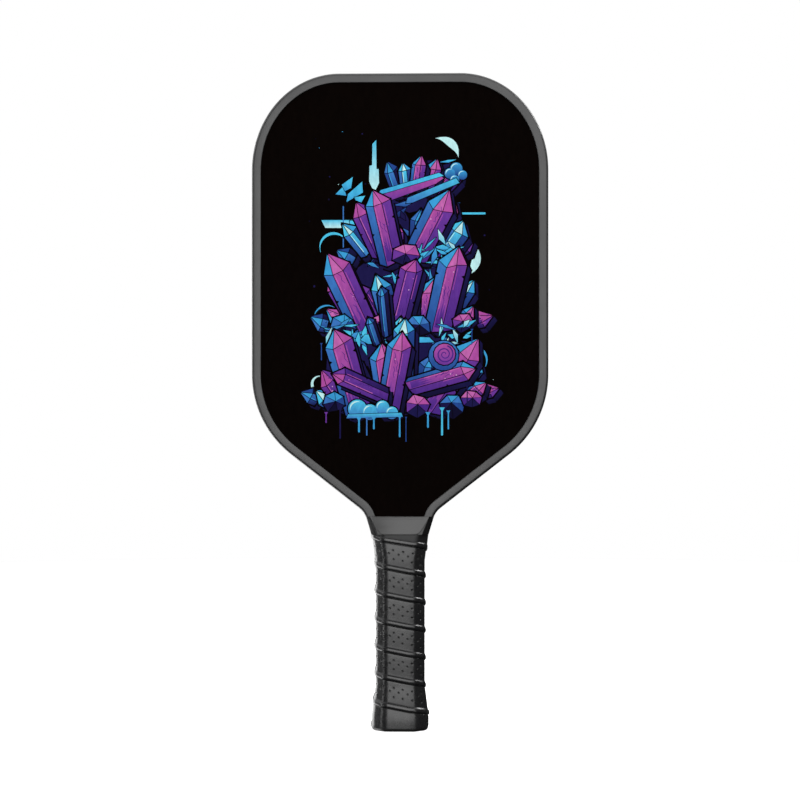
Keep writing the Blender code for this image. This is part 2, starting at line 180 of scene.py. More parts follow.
# Name, place, target, width and height, and watts
SOFTBOXES = (
    ("front_softbox", (0.55, -2.4, 0.85), MIDDLE, (2.9, 2.4), 62),
    ("low_key", (-0.45, -2.3, -0.1), MIDDLE, (0.9, 1.5), 6),
    ("left_strip", (-1.553, -0.691, 0.2), MIDDLE, (0.1, 2.0), 6.5),
    ("left_rim", (-1.2, 1.0, -0.1), MIDDLE, (1.25, 2.6), 52),
    ("left_fill", (-1.5, 0, 1.0), (0, 0, 0.4), (1.4, 0.9), 6.5),
    ("top_fill", (0, -0.05, 0.85), (0, -0.05, 0), (1.5, 0.6), 4.8),
    ("top_rim", (0, 0.9, 1.75), (0, 0, 0.41), (1.6, 1.6), 9),
    ("right_spark", (1.2, 0.4, 1.2), MIDDLE, (0.5, 0.5), 18),
)
WORLD_GREY = 0.022
FLOOR_RADIUS = 1.6
FLOOR_DROP = 0.2 * MM


# ---- outlines


def arc(centre, radii, start, end, steps):
    """Points of an elliptical arc, with its angles in degrees from +X."""
    angles = np.radians(np.linspace(start, end, steps + 1))
    return [(centre[0] + radii[0] * math.cos(a), centre[1] + radii[1] * math.sin(a)) for a in angles]


def divided(points, step):
    """The line with its long runs cut into pieces no longer than step."""
    made = [points[0]]
    for a, b in zip(points, points[1:]):
        pieces = max(1, round(math.dist(a, b) / step))
        made += [tuple(np.add(a, np.subtract(b, a) * i / pieces)) for i in range(1, pieces + 1)]
    return made


def right_edge():
    """The right half of the head's outer edge, from the top down to the collar."""
    top_centre = (HEAD_HALF - CORNER_WIDE, LENGTH - CORNER_TALL)
    top = arc(top_centre, (CORNER_WIDE, CORNER_TALL), 90, 0, 48)
    shoulder_centre = (HEAD_HALF - SHOULDER_RADIUS, SHOULDER_Z)
    shoulder = arc(shoulder_centre, (SHOULDER_RADIUS,) * 2, 0, -SHOULDER_TURN, 32)
    turn = math.radians(SHOULDER_TURN)
    bend_x = shoulder[-1][0] - (shoulder[-1][1] - NECK_BEND_Z) * math.tan(turn)
    bend_centre = (bend_x + NECK_BEND_RADIUS * math.cos(turn),
                   NECK_BEND_Z - NECK_BEND_RADIUS * math.sin(turn))
    bend = arc(bend_centre, (NECK_BEND_RADIUS,) * 2, 180 - SHOULDER_TURN, 180 - NECK_TURN, 12)
    leg = (bend[-1][1] - COLLAR_Z) * math.tan(math.radians(NECK_TURN))
    return top + shoulder + bend + [(bend[-1][0] - leg, COLLAR_Z)]


def outer_edge():
    """The whole outer edge, clockwise from the left of the collar to the right of it."""
    right = right_edge()
    return [(-x, z) for x, z in reversed(right)] + right


def moved_inwards(points, distance, closed=False):
    """A clockwise line of points, moved to its inner side with mitred corners."""
    line = np.array(points)
    runs = np.diff(np.vstack((line, line[:1])) if closed else line, axis=0)
    runs /= np.linalg.norm(runs, axis=1, keepdims=True)
    normals = np.column_stack((runs[:, 1], -runs[:, 0]))
    before = np.vstack((normals[-1:], normals[:-1]) if closed else (normals[:1], normals))
    after = normals if closed else np.vstack((normals, normals[-1:]))
    mitres = (before + after) / (1 + np.sum(before * after, axis=1, keepdims=True))
    return [tuple(p) for p in line + distance * mitres]


def cut_at(points, low_z):
    """The line with both of its ends, which point down, cut off level at low_z."""
    kept = [i for i, p in enumerate(points) if p[1] > low_z]
    ends = []
    for inner, outer in ((kept[0], kept[0] - 1), (kept[-1], kept[-1] + 1)):
        (x0, z0), (x1, z1) = points[inner], points[outer]
        ends.append((x0 + (z0 - low_z) / (z0 - z1) * (x1 - x0), low_z))
    return [ends[0]] + [points[i] for i in kept] + [ends[1]]


# ---- handle sections


def handle_section(z):
    """Half width, half depth and bevel of the bare handle below its collar."""
    flare = (FLARE_START_Z, COLLAR_Z)
    wide = np.interp(z, flare, (HANDLE_HALF_WIDE, FLARE_HALF_WIDE))
    deep = np.interp(z, flare, (HANDLE_HALF_DEEP, FLARE_HALF_DEEP))
    return wide, deep, HANDLE_BEVEL


def throat_section(z):
    """Half width, half depth and bevel of the handle between its collar and its top."""
    edge = [p for p in right_edge() if p[1] < SHOULDER_Z - SHOULDER_RADIUS][::-1]
    wide = np.interp(z, [p[1] for p in edge], [p[0] for p in edge])
    span = (COLLAR_Z, THROAT_Z)
    deep = np.interp(z, span, (COLLAR_HALF_DEEP, THROAT_HALF_DEEP))
    return wide, deep, np.interp(z, span, (COLLAR_BEVEL, THROAT_BEVEL))


def rounded_octagon(section, out, corner, per_corner):
    """(position, outward normal) pairs round an octagon with rounded corners, from the middle
    of the front by the right, the back and the left."""
    wide, deep, bevel = section
    slant = wide + deep - bevel
    # Each side: outward normal angle and distance from the centre line
    fars = (deep, slant / math.sqrt(2), wide, slant / math.sqrt(2)) * 2
    sides = [((k - 2) * math.pi / 4, far) for k, far in enumerate(fars)]
    points = []
    for (a0, d0), (a1, d1) in zip(sides, sides[1:] + sides[:1]):
        n0 = np.array((math.cos(a0), math.sin(a0)))
        n1 = np.array((math.cos(a1), math.sin(a1)))
        centre = np.linalg.solve(np.array((n0, n1)), np.array((d0 - corner, d1 - corner)))
        for step in range(per_corner):
            angle = a0 + math.pi / 4 * step / (per_corner - 1)
            normal = np.array((math.cos(angle), math.sin(angle)))
            points.append((centre + normal * (corner + out), normal))
    return points


def wrapped_out(z):
    """How far the surface under the grip stands out from the bare handle."""
    heights = (SKIRT_SHOULDER_Z, SKIRT_TOP_Z, SKIRT_TOP_Z + WRAP_RUNOUT)
    return float(np.interp(z, heights, (SKIRT_OUT, WRAP_OVER_SKIRT_TOP, 0)))


class Round:
    """Places points round the handle by their share of a turn, from the middle of the front."""

    def __init__(self):
        self.cache = {}
        loop = [spot for spot, _ in self.section(0)]
        lengths = np.cumsum([0.0] + [np.linalg.norm(b - a) for a, b in zip(loop, loop[1:])])
        self.length = float(lengths[-1])
        self.shares = list(lengths / lengths[-1])

    def section(self, z):
        """The octagon at a height, closed at the middle of the front."""
        step = round(z / WRAP_SECTION_STEP)
        if step not in self.cache:
            section = handle_section(step * WRAP_SECTION_STEP)
            ring = rounded_octagon(section, 0, WRAP_CORNER, WRAP_CORNER_POINTS)
            front = (np.array((0.0, ring[0][0][1])), np.array((0.0, -1.0)))
            self.cache[step] = [front] + ring + [front]
        return self.cache[step]

    def point(self, share, z, out):
        """A place by its share of a turn, its height and its distance from the wrapped surface."""
        share %= 1.0
        ring = self.section(z)
        i = min(max(bisect.bisect_right(self.shares, share) - 1, 0), len(ring) - 2)
        part = (share - self.shares[i]) / (self.shares[i + 1] - self.shares[i])
        spot = ring[i][0] * (1 - part) + ring[i + 1][0] * part
        normal = ring[i][1] * (1 - part) + ring[i + 1][1] * part
        normal = normal / np.linalg.norm(normal)
        x, y = spot + normal * (out + wrapped_out(z))
        return x, y, z


# ---- mesh helpers


def add_object(name, data):
    """A new object in the scene."""
    made = bpy.data.objects.new(name, data)
    bpy.context.scene.collection.objects.link(made)
    return made


def mesh_object(name, mesh, look, smooth_angle=35):
    """A piece from a bmesh, facing outwards, smooth but for edges sharper than an angle."""
    bmesh.ops.recalc_face_normals(mesh, faces=mesh.faces)
    data = bpy.data.meshes.new(name)
    mesh.to_mesh(data)
    mesh.free()
    data.materials.append(look)
    data.shade_smooth()
    data.set_sharp_from_angle(angle=math.radians(smooth_angle))
    return add_object(name, data)


def add_rings(mesh, rings, closed=False):
    """Rings of points joined one to the next, with the first and last filled or joined."""
    loops = [[mesh.verts.new(p) for p in ring] for ring in rings]
    pairs = list(zip(loops, loops[1:]))
    if closed:
        pairs.append((loops[-1], loops[0]))
    for low, high in pairs:
        for a, b, c, d in zip(low, low[1:] + low[:1], high[1:] + high[:1], high):
            mesh.faces.new((a, b, c, d))
    if not closed:
        mesh.faces.new(loops[0])
        mesh.faces.new(loops[-1])


def add_sheets(mesh, faces, tops, unders):
    """Two sheets of the same faces, with walls along every edge that only one face has."""
    made = [mesh.faces.new([tops[i] for i in face]) for face in faces]
    for face in faces:
        mesh.faces.new([unders[i] for i in reversed(face)])
    edges = {edge: True for face in faces for edge in zip(face, face[1:] + face[:1])}
    for a, b in edges:
        if (b, a) not in edges:
            mesh.faces.new((tops[b], tops[a], unders[a], unders[b]))
    return made


def rings_object(name, rings, look, closed=False, smooth_angle=35):
    mesh = bmesh.new()
    add_rings(mesh, rings, closed)
    return mesh_object(name, mesh, look, smooth_angle)


def stands_for(piece, slot, *nodes):
    """The piece rides on the paddle's one body, and hides the CAD nodes that it stands for."""
    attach(piece, "root")
    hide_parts(*nodes)


# ---- materials


class Look:
    """A procedural material while it is made."""

    def __init__(self, name, colour, roughness, specular, metallic=0.0):
        self.material = bpy.data.materials.new(name)
        self.material.use_nodes = True
        self.nodes, self.links = self.material.node_tree.nodes, self.material.node_tree.links
        self.inputs = self.nodes["Principled BSDF"].inputs
        self.inputs["Base Color"].default_value = (*colour, 1)
        self.inputs["Roughness"].default_value = roughness
        self.inputs["Specular IOR Level"].default_value = specular
        self.inputs["Metallic"].default_value = metallic

    def feed(self, source, name):
        """Feeds a node's output to an input of the shader."""
        self.links.new(source, self.inputs[name])

    def put(self, value, socket):
        """Gives a node's input a value or another node's output."""
        if isinstance(value, bpy.types.NodeSocket):
            self.links.new(value, socket)
        else:
            socket.default_value = value

    def node(self, kind, **given):
        """A new node with some of its inputs, whose names have _ for a space."""
        made = self.nodes.new("ShaderNode" + kind)
        for name, value in given.items():
            self.put(value, made.inputs[name.replace("_", " ")])
        return made

    def where(self, scale=(1, 1, 1)):
        """Object coordinates, stretched."""
        place = self.node("TexCoord").outputs["Object"]
        return self.node("Mapping", Vector=place, Scale=scale).outputs["Vector"]

    def layer(self, name):
        """A value that the mesh holds for each of its points."""
        made = self.node("Attribute")
        made.attribute_name = name
        return made.outputs["Fac"]

    def noise(self, vector, scale, detail, rough=0.5):
        made = self.node("TexNoise", Vector=vector, Scale=scale, Detail=detail, Roughness=rough)
        return made.outputs["Fac"]

    def spread(self, source, low, high, start=0.3, end=0.7):
        """A value from low to high as the source goes from start to end."""
        made = self.node("MapRange", Value=source, From_Min=start, From_Max=end, To_Min=low, To_Max=high)
        return made.outputs["Result"]

    def mixed(self, factor, low, high, blend="MIX"):
        """Two colours mixed by a factor. Each of the three may be a node's output.

        A Mix node's colour sockets share their names with others, so they go by number.
        """
        made = self.node("Mix")
        made.data_type, made.blend_type = "RGBA", blend
        for place, value in ((0, factor), (6, low), (7, high)):
            self.put((*value, 1) if isinstance(value, tuple) else value, made.inputs[place])
        return made.outputs[2]

    def bump(self, height, distance, strength=1.0):
        made = self.node("Bump", Height=height, Distance=distance, Strength=strength)
        self.feed(made.outputs["Normal"], "Normal")


def moulded(name, colour, roughness, specular, grain=0.02 * MM, grain_scale=2500, mottle=0.25, metallic=0.0):
    """A fine even grain, with slight cloudiness of tone and gloss."""
    look = Look(name, colour, roughness, specular, metallic)
    where = look.where()
    cloud = look.noise(where, 60, 4)
    dark, light = (tuple(c * share for c in colour) for share in (1 - mottle, 1 + mottle))
    look.feed(look.mixed(cloud, dark, light), "Base Color")
    look.feed(look.spread(cloud, roughness * 0.9, roughness * 1.1), "Roughness")
    look.bump(look.noise(where, grain_scale, 2), grain)
    return look.material


def printed_film():
    """Matt ink, with fine streaks of wear that run up the face."""
    look = Look("printed_film", (0.003, 0.002, 0.002), 0.8, 0.0)
    ink = look.node("VertexColor")
    ink.layer_name = "ink"
    streaks = look.noise(look.where((1, 1, 0.45)), 420, 4, 0.6)
    wear = look.mixed(streaks, (0.55, 0.56, 0.59), (1.23, 1.25, 1.17))
    look.feed(look.mixed(1.0, ink.outputs["Color"], wear, "MULTIPLY"), "Base Color")
    look.bump(look.noise(look.where(), 3200, 2), 0.012 * MM)
    return look.material


def leatherette():
    """Black cushioned skin with a fine leather grain, shinier on its rib and towards its upper
    edge, and with painted shade that darkens the bottoms of its perforations."""
    look = Look("grip_leatherette", (0.009, 0.009, 0.0095), 0.34, 0.5)
    where = look.where()
    cloud = look.mixed(look.noise(where, 90, 4), (0.007, 0.007, 0.0075), (0.012, 0.012, 0.0125))
    # Painted shade: the perforations' bottoms are darkened nearly to black in the base colour
    look.feed(look.mixed(look.layer("hole"), cloud, (0.0012, 0.0012, 0.0012)), "Base Color")
    look.feed(look.spread(look.layer("worn"), 0.31, 0.6, 0, SHINE_FULL), "Specular IOR Level")
    look.feed(look.spread(look.noise(where, 300, 3), 0.25, 0.31), "Roughness")
    cells = look.node("TexVoronoi", Vector=where, Scale=1200)
    look.bump(cells.outputs["Distance"], 0.04 * MM, 0.5)
    return look.material


def carbon_twill():
    """Carbon twill under clear resin, for the structural face sheets."""
    look = Look("carbon_twill", (0.02, 0.02, 0.022), 0.35, 0.5)
    wave = look.node("TexWave", Vector=look.where(), Scale=160)
    wave.bands_direction = "DIAGONAL"
    look.feed(look.mixed(wave.outputs["Fac"], (0.012, 0.012, 0.014), (0.05, 0.05, 0.055)), "Base Color")
    look.bump(wave.outputs["Fac"], 0.04 * MM)
    return look.material


def hidden_looks():
    """Materials of the CAD's own nodes inside the paddle, by a word in their names."""
    looks = {
        "honeycomb_core": moulded("core_polypropylene", (0.75, 0.75, 0.72), 0.45, 0.5, 0.01 * MM, 900, 0.06),
        "adhesive": moulded("film_adhesive", (0.42, 0.36, 0.22), 0.3, 0.5, 0.01 * MM, 500, 0.1),
        "edge_guard_tape": moulded("bonding_tape", (0.55, 0.55, 0.55), 0.6, 0.3, 0.01 * MM, 1200, 0.08),
        "foam": moulded("grip_foam", (0.03, 0.03, 0.03), 0.95, 0.1, 0.1 * MM, 1400, 0.3),
        "cord": moulded("rib_cord", (0.05, 0.05, 0.05), 0.8, 0.3, 0.05 * MM, 900, 0.2),
        "staple": moulded("staple_steel", (0.5, 0.5, 0.5), 0.3, 0.5, 0.01 * MM, 300, 0.05, 1.0),
        "face_sheet": carbon_twill(),
    }
    for name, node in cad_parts.items():
        for part, look in looks.items():
            if part in name:
                node.data.materials.clear()
                node.data.materials.append(look)


# ---- head


def guard_section():
    """Half of the guard's section, from the outer wall to the channel: (inwards, y)."""
    turn = np.radians(np.linspace(0, 90, 9))
    half = [(GUARD_ROUND * (1 - math.cos(t)), GUARD_HALF - GUARD_ROUND * (1 - math.sin(t)))
            for t in turn]
    turn = np.radians(np.linspace(0, 90, 5))
    half += [(GUARD_WIDTH - LIP_ROUND * (1 - math.sin(t)), GUARD_HALF - LIP_ROUND * (1 - math.cos(t)))
             for t in turn]
    inner = GUARD_HALF - GUARD_LIP
    return half + [(GUARD_WIDTH, inner), (GUARD_WALL, inner)]


def edge_guard(look):
    """The U-shaped moulding round the head, with rounded outer corners."""
    half = guard_section()
    section = half + [(inwards, -y) for inwards, y in reversed(half)]
    outer = divided(outer_edge(), GUARD_STEP)
    innermost = moved_inwards(outer, GUARD_WIDTH)
    whole = [i for i, pair in enumerate(zip(outer, innermost))
             if min(z for _, z in pair) > GUARD_LOW.z]
    rings = [[] for _ in range(len(whole) + 2)]
    for inwards, y in section:
        line = moved_inwards(outer, inwards)
        ends = cut_at(line, GUARD_LOW.z)
        for ring, (x, z) in zip(rings, [ends[0]] + [line[i] for i in whole] + [ends[-1]]):
            ring.append((x, y, z))
    stands_for(rings_object("edge_guard_moulding", rings, look), "guard_plastic", "edge_guard")


# ---- print


def linear(code):
    """A colour's linear values, from its hexadecimal code."""
    values = [int(code[i:i + 2], 16) / 255 for i in (0, 2, 4)]
    return np.array([v / 12.92 if v <= 0.04045 else ((v + 0.055) / 1.055) ** 2.4 for v in values])


PRINT_SEED = 5
INK = {name: linear(code) for name, code in {
    "black": "0a0605", "rose": "c869b4", "magenta": "b452a6", "violet": "6f3a9e", "deep": "4a2a86",
    "indigo": "1f1b4b", "night": "14122e", "cyan": "4fc4ec", "sky": "3fa0dc", "blue": "3f78c4",
    "navy": "284a94", "pale": "c4f0f4", "pink": "eab6dc",
}.items()}


class Print:
    """Ink areas on the face, in millimetres, each laid over the ones before it."""

    def __init__(self, border):
        self.areas = [(border, INK["black"], INK["black"])]
        rng = random.Random(PRINT_SEED)
        self.between, self.pick = rng.uniform, rng.choice

    def fill(self, points, low, high=None):
        """An area whose colour runs from low at its foot to high at its top."""
        points = [tuple(p) for p in points]
        doubled = sum(a[0] * b[1] - b[0] * a[1] for a, b in zip(points, points[1:] + points[:1]))
        if abs(doubled) < 0.02:
            return
        self.areas.append((points if doubled > 0 else points[::-1], INK[low], INK[high or low]))

    def line(self, points, wide, ink="black", closed=False):
        """A line of even width, as one strip for each run."""
        points = list(points) + ([points[0]] if closed else [])
        for a, b in zip(points, points[1:]):
            a, b = np.array(a), np.array(b)
            run = (b - a) / max(np.linalg.norm(b - a), 1e-6) * wide / 2
            side = np.array((-run[1], run[0]))
            self.fill((a - run + side, a - run - side, b + run - side, b + run + side), ink)

    def outlined(self, points, low, high=None, wide=0.5):
        """An area with a black line round it."""
        self.line(points, wide * 1.5, closed=True)
        self.fill(points, low, high)

    def ribbon(self, points, widths, ink):
        """A curved stroke whose width changes along it."""
        line = np.array(points)
        runs = np.gradient(line, axis=0)
        runs /= np.linalg.norm(runs, axis=1, keepdims=True)
        sides = np.column_stack((-runs[:, 1], runs[:, 0])) * np.array(widths)[:, None] / 2
        self.fill(list(line + sides) + list((line - sides)[::-1]), ink)

    def dot(self, centre, radius, ink, sides):
        self.fill(arc(centre, (radius, radius), 0, 360 - 360 / sides, sides - 1), ink)

    def mesh(self, name, front, back):
        """One closed sheet between two depths, with each part of its front in the topmost ink."""
        points, faces = [], []
        for area, _, _ in self.areas:
            faces.append(list(range(len(points), len(points) + len(area))))
            points += [Vector(p) for p in area]
        verts, _, triangles, _, _, sources = delaunay_2d_cdt(points, [], faces, 1, 1e-4)
        mesh = bmesh.new()
        ink = mesh.loops.layers.float_color.new("ink")
        fronts = [mesh.verts.new((x * MM, front, z * MM)) for x, z in verts]
        backs = [mesh.verts.new((x * MM, back, z * MM)) for x, z in verts]
        made = add_sheets(mesh, triangles, fronts, backs)
        for face, triangle, source in zip(made, triangles, sources):
            area, low, high = self.areas[max(source)]
            heights = [p[1] for p in area]
            foot, top = min(heights), max(heights)
            for loop, i in zip(face.loops, triangle):
                part = min(max((verts[i][1] - foot) / (top - foot), 0), 1)
                loop[ink] = (*(low + (high - low) * part), 1)
        data = bpy.data.meshes.new(name)
        mesh.to_mesh(data)
        mesh.free()
        return data


# Inks of a crystal: its three long facets from foot to top, and its three short ones
CRYSTAL_INKS = {
    "pink": ("navy blue", "violet magenta", "deep violet", "sky", "rose", "magenta"),
    "plum": ("deep violet", "deep violet", "indigo deep", "magenta", "magenta", "violet"),
    "ice": ("navy blue", "blue cyan", "indigo navy", "cyan", "pale", "sky"),
    "sea": ("indigo navy", "navy blue", "night indigo", "blue", "sky", "navy"),
}
COOL_EDGES = {"ice": "pale", "sea": "sky"}
SHADE = np.array((2.6, -3.2))


def cast_shadow(art, rim):
    """The dark flank of a clockwise shape, below it and to its right."""
    for a, b in zip(rim, rim[1:] + rim[:1]):
        run = b - a
        # The outward normal lies to the left of the run
        if run[0] * SHADE[1] - run[1] * SHADE[0] > 0.3:
            art.line((a + SHADE, b + SHADE), 1.6)
            art.fill((a, b, b + SHADE, a + SHADE), "night", "indigo")


def crystal(art, foot, lean, length, wide, inks="pink"):
    """A prism with a pointed tip: three long facets, three short ones and a shadow beside it."""
    lean = math.radians(lean)
    along = np.array((math.sin(lean), math.cos(lean)))
    across = np.array((math.cos(lean), -math.sin(lean)))
    foot = np.array(foot, float)

    def at(u, v):
        return foot + across * u * wide + along * v * length

    left, right = -art.between(0.16, 0.3), art.between(0.12, 0.26)
    low = 1 - wide / length * art.between(0.5, 0.75)
    steps = [low, low - art.between(0.02, 0.07), low - art.between(0, 0.05), low + art.between(0, 0.05)]
    tip = at(art.between(-0.12, 0.16), 1)
    feet = [at(-0.46, 0.02), at(left, -0.03), at(right, 0.0), at(0.46, 0.04)]
    tops = [at(u, v) for u, v in zip((-0.5, left, right, 0.5), steps)]
    rim = [feet[0], tops[0], tip, tops[3], feet[3], feet[2], feet[1]]
    cast_shadow(art, rim)
    art.line(rim, 2.0, closed=True)
    colours = CRYSTAL_INKS[inks]
    for i in range(3):
        art.fill((feet[i], tops[i], tops[i + 1], feet[i + 1]), *colours[i].split())
        art.fill((tops[i], tip, tops[i + 1]), colours[3 + i])
    for ridge in ((feet[1], tops[1]), (feet[2], tops[2]), (tops[1], tip), (tops[2], tip), tops):
        art.line(ridge, 0.45)
    if inks in COOL_EDGES:
        art.line((at(left + 0.06, 0.1), at(left + 0.06, steps[1] - 0.04)), 0.4, COOL_EDGES[inks])
    else:
        brushwork(art, at, left, right, steps)


def brushwork(art, at, left, right, steps):
    """Strokes at the foot, lit edges, cracks, flecks and chips on a crystal's middle facet."""
    span = right - left - 0.1
    reaches = ((0.1, 0.2), (0.16, 0.42)) * 3 + ((0.1, 0.2),)
    teeth = [at(left + 0.05 + span * i / 6, art.between(*reach)) for i, reach in enumerate(reaches)]
    art.fill([at(left + 0.05, 0.03)] + teeth + [at(right - 0.05, 0.03)], "deep", "violet")
    art.line([at(left + 0.055, 0.25), at(left + 0.055, steps[1] - 0.03)], 0.45, "rose")
    art.line([at(right + 0.06, 0.5), at(right + 0.06, steps[2] - 0.03)], 0.35, "magenta")
    for _ in range(3):
        u, v = art.between(left + 0.05, right - 0.1), art.between(0.3, 0.8)
        crack = [at(u, v), at(u + 0.07, v - 0.04), at(u + 0.03, v - 0.08), at(u + 0.1, v - 0.13)]
        art.line(crack, 0.32, "deep")
    for _ in range(4):
        u, v, size = art.between(left, right), art.between(0.3, steps[1]), art.between(0.2, 0.5)
        art.dot(at(u, v), size, art.pick(("pink", "rose", "violet")), 5)
    for edge, v in ((-0.5, art.between(0.3, 0.7)), (0.5, art.between(0.3, 0.7))):
        art.fill((at(edge * 1.08, v), at(edge * 0.8, v + 0.03), at(edge * 1.08, v + 0.06)), "black")


# Inks of a boulder, from its foot to its top
BOULDER_INKS = {"pink": "indigo deep violet magenta rose", "sea": "night indigo navy blue sky"}


def boulder(art, centre, radius, inks="pink"):
    """A rock of seven facets with a lit top."""
    centre = np.array(centre)
    turn = art.between(0, 1)
    ring = []
    for i in range(7):
        angle = 2 * math.pi * (i + turn) / 7
        reach = radius * art.between(0.85, 1.15)
        ring.append(centre + reach * np.array((math.cos(angle) * 1.15, math.sin(angle))))
    heart = centre + radius * np.array((art.between(-0.2, 0.2), art.between(0.05, 0.3)))
    art.line(ring, 1.8, closed=True)
    ramp = BOULDER_INKS[inks].split()
    for a, b in zip(ring, ring[1:] + ring[:1]):
        height = ((a + b)[1] / 2 - centre[1]) / radius
        art.fill((a, b, heart), ramp[min(4, max(0, int((height + 1) * 2.5)))])
        art.line((a, heart), 0.35)


def shards(art, count, span_x, span_z, size, inks):
    """Angular chips scattered over a part of the heap."""
    for _ in range(count):
        centre = np.array((art.between(*span_x), art.between(*span_z)))
        angle = art.between(0, 2 * math.pi)
        reach, wide = art.between(*size), art.between(1.2, 3.2)
        u = np.array((math.cos(angle), math.sin(angle)))
        v = np.array((-u[1], u[0]))
        low, high = art.pick(inks).split()
        art.outlined((centre - u * reach * 0.5 - v * wide * 0.3, centre + v * wide * 0.6,
                      centre + u * reach * 0.6, centre - v * wide * 0.5), low, high)


def drip(art, x, top, foot, wide, ink):
    """A run of paint that narrows from its start and ends in a drop."""
    drop = wide * 0.36
    end = arc((x, foot + drop), (drop, drop), 0, -180, 6)
    art.fill([(x - wide, top), (x + wide, top), (x + wide * 0.3, top - wide * 1.2)] + end
             + [(x - wide * 0.3, top - wide * 1.2)], ink)


def crescent(art, centre, radius, start, end, wide, ink="pale"):
    """An arc that is widest at its middle."""
    line = arc(centre, (radius, radius), start, end, 14)
    art.ribbon(line, 0.15 + wide * np.sin(np.linspace(0, math.pi, 15)) ** 1.5, ink)


def swirl(art, centre, radius, turns, wide, ink):
    """A spiral stroke that widens outwards."""
    steps = int(turns * 16)
    share = np.linspace(0.12, 1, steps)
    angles = np.linspace(0, turns * 2 * math.pi, steps)
    line = np.array(centre) + radius * share[:, None] * np.column_stack((np.cos(angles), np.sin(angles)))
    art.ribbon(line, wide * (0.5 + 0.5 * share), ink)


def cloud(art, puffs, low, high):
    """Round puffs that join into one cloud, with a pale rim on each."""
    for x, z, radius in puffs:
        art.dot((x, z), radius + 0.8, "black", 18)
    for x, z, radius in puffs:
        art.fill(arc((x, z), (radius, radius), 0, 340, 17), low, high)
    for x, z, radius in puffs:
        crescent(art, (x, z), radius * 0.78, 70, 190, radius * 0.16)


# Outline of the heap: height, middle and half width
HEAP = ((195, 3, 50), (215, 3, 54), (250, 0, 49), (290, 1, 46), (310, 2, 42), (330, 4, 38), (350, 8, 33),
        (372, 16, 22), (386, 14, 12))
# Inks of the chips, from foot to top
BLUES = ("navy blue", "blue sky", "sky cyan", "indigo navy", "indigo indigo")
BRIGHTS = ("sky cyan", "cyan cyan", "cyan pale", "blue sky")


def druse(art, foot, turn, fan, length, wide, inks):
    """A fan of crystals from one foot, the outermost at the back, each kept inside the heap."""
    heights, middles, halves = zip(*HEAP)
    inks = inks.split()
    shares = sorted(np.linspace(-1, 1, len(inks)), key=lambda share: -abs(share))
    for share, ink in zip(shares, inks):
        lean = math.radians(turn + fan * share + art.between(-6, 6))
        start = np.array(foot) + (share * wide * len(inks) * 0.28, art.between(-3, 3) - 2 * abs(share))
        reach = length * (1 - 0.3 * abs(share)) * art.between(0.8, 1.15)
        while reach > 12:
            x, z = start + reach * np.array((math.sin(lean), math.cos(lean)))
            if abs(x - np.interp(z, heights, middles)) < np.interp(z, heights, halves):
                break
            reach *= 0.93
        crystal(art, start, math.degrees(lean), reach, wide * art.between(0.75, 1.25), ink)


def backdrop(art):
    """Specks, a spire, bars, chips and crescents that stick out round the heap."""
    for _ in range(46):
        x, z = art.between(-58, 60), art.between(192, 388)
        size, ink = art.between(0.2, 0.75), art.pick(("indigo", "indigo", "night", "sky", "pale"))
        art.dot((x, z), size, ink, 7)
    art.outlined([(-19.5, 350), (-19.3, 360), (-17.6, 360.5), (-17.4, 374), (-15, 376.5), (-14.8, 358),
                  (-13.4, 358), (-13.2, 349), (-16.2, 343)], "pale", "cyan")
    for chip in (((-41, 342), (-36, 347), (-34, 341)), ((-37, 348), (-30, 353), (-31, 346), (-35, 344)),
                 ((-33, 342), (-24, 350), (-23.5, 343), (-34, 337)), ((-29, 340), (-22, 341), (-26, 334))):
        art.outlined(chip, "sky", "cyan")
    art.outlined([(-50, 325.5), (-27, 325.5), (-29, 320.5), (-47.5, 320.5)], "pale", "cyan")
    art.outlined([(-32, 325), (-26, 325), (-20, 309), (-24, 308), (-31, 316)], "sky", "cyan")
    art.line([(32, 329.5), (54, 329.5)], 1.3, "cyan")
    art.line([(38, 336), (38, 306)], 0.7, "blue")
    art.line([(-36, 334), (-36, 306)], 0.7, "blue")
    art.outlined([(20, 306), (36, 328), (38.5, 328), (38.5, 304)], "pale", "sky")
    crescent(art, (24, 364), 13.5, 95, 5, 5.0)
    crescent(art, (36, 302), 13, 50, -75, 5.5)
    crescent(art, (-42, 308), 9, 200, 20, 1.6, "cyan")
    crescent(art, (-46, 262), 9, 170, 60, 1.0, "sky")
    crescent(art, (46, 236), 9.5, 110, -40, 1.2, "sky")
    crescent(art, (-51, 221), 5, 330, 60, 1.6)
    for body in (
        [(-10, 338), (-6, 352), (34, 362), (38, 348), (30, 336), (6, 330)],
        [(-26, 318), (-18, 334), (-2, 340), (8, 322), (6, 300), (-16, 300)],
        [(-44, 282), (-20, 300), (28, 314), (44, 296), (42, 262), (0, 250), (-34, 256)],
        [(-48, 206), (-46, 246), (-6, 260), (30, 260), (42, 240), (48, 214), (20, 202), (-30, 200)],
    ):
        art.outlined(body, "indigo", wide=0.9)
    for count, span_x, span_z in ((16, (-6, 32), (338, 364)), (26, (-24, 32), (302, 336)),
                                  (34, (-44, 44), (256, 300)), (44, (-48, 46), (204, 256))):
        shards(art, count, span_x, span_z, (6, 14), BLUES)


def top_tier(art):
    """A small fan of crystals, a cloud, and long splinters across their feet."""
    druse(art, (13, 345), 10, 34, 27, 8, "sea plum pink ice pink pink")
    cloud(art, ((36, 358, 4.0), (40, 354, 3.0), (32, 355, 3.4), (35, 351, 3.0)), "navy", "sky")
    splinter = [(-15, 339), (-12, 343.5), (25, 354), (28, 352), (23, 348.5), (-6, 338)]
    art.outlined(splinter, "violet", "magenta", 0.6)
    art.outlined([(-15, 341), (-12, 344.5), (25, 355.4), (28, 353.6), (-6, 343.6)], "sky", "cyan")
    art.outlined([(4, 336), (5, 339.5), (36, 352), (38, 349), (8, 336.5)], "blue", "cyan", 0.6)


